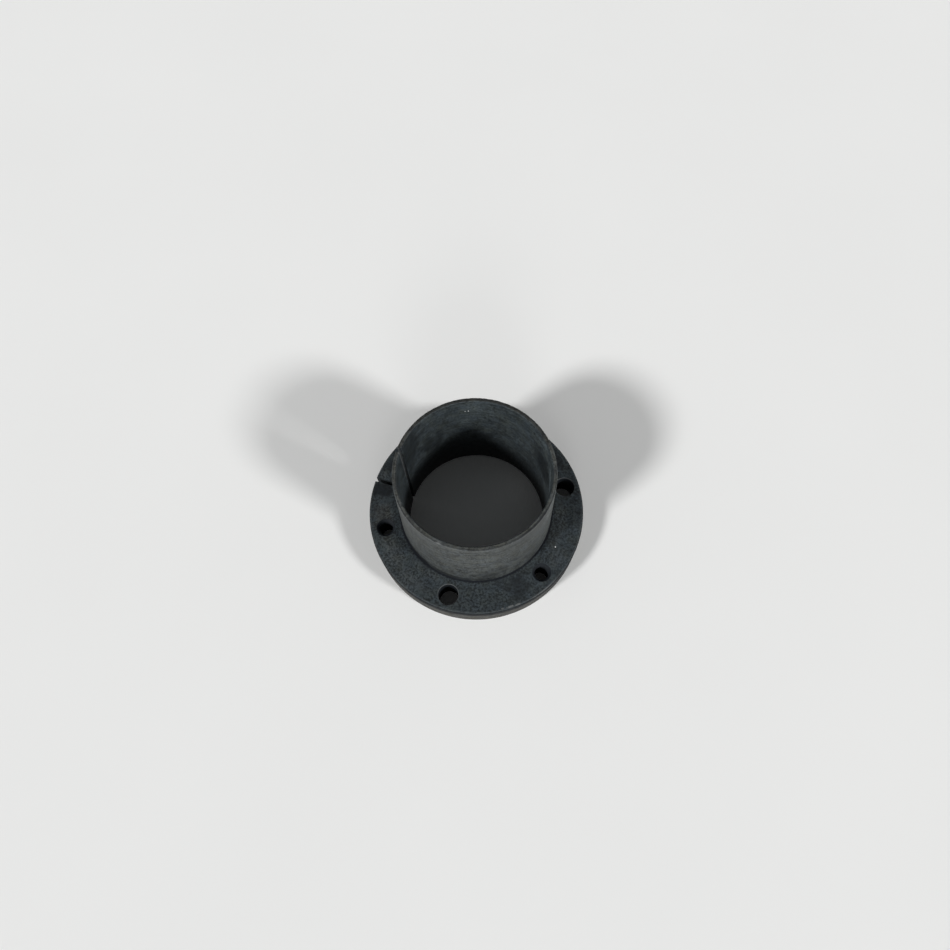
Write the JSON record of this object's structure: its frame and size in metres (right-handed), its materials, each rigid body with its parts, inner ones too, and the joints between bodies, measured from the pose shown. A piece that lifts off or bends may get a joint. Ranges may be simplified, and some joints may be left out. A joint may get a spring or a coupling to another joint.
{
  "type": "quick disconnect bushing",
  "caption": "Flanged bushing with a split, tapered barrel and a straight bore; screws through its flange draw it into a hub and clamp it on a shaft.",
  "frame": {"origin": "centre of the flange's foot face, on the bore axis", "axes": "+Z along the bore from the flange to the small end of the barrel; the split is on the -X side; a clearance hole is on -Y and a tapped hole on +Y"},
  "size_m": [0.0794, 0.0794, 0.046],
  "materials": {
    "phosphated_iron": "machined iron with a dark, lightly oiled phosphate coating"
  },
  "bodies": {
    "root": {"bushing": "phosphated_iron"}
  },
  "joints": []
}
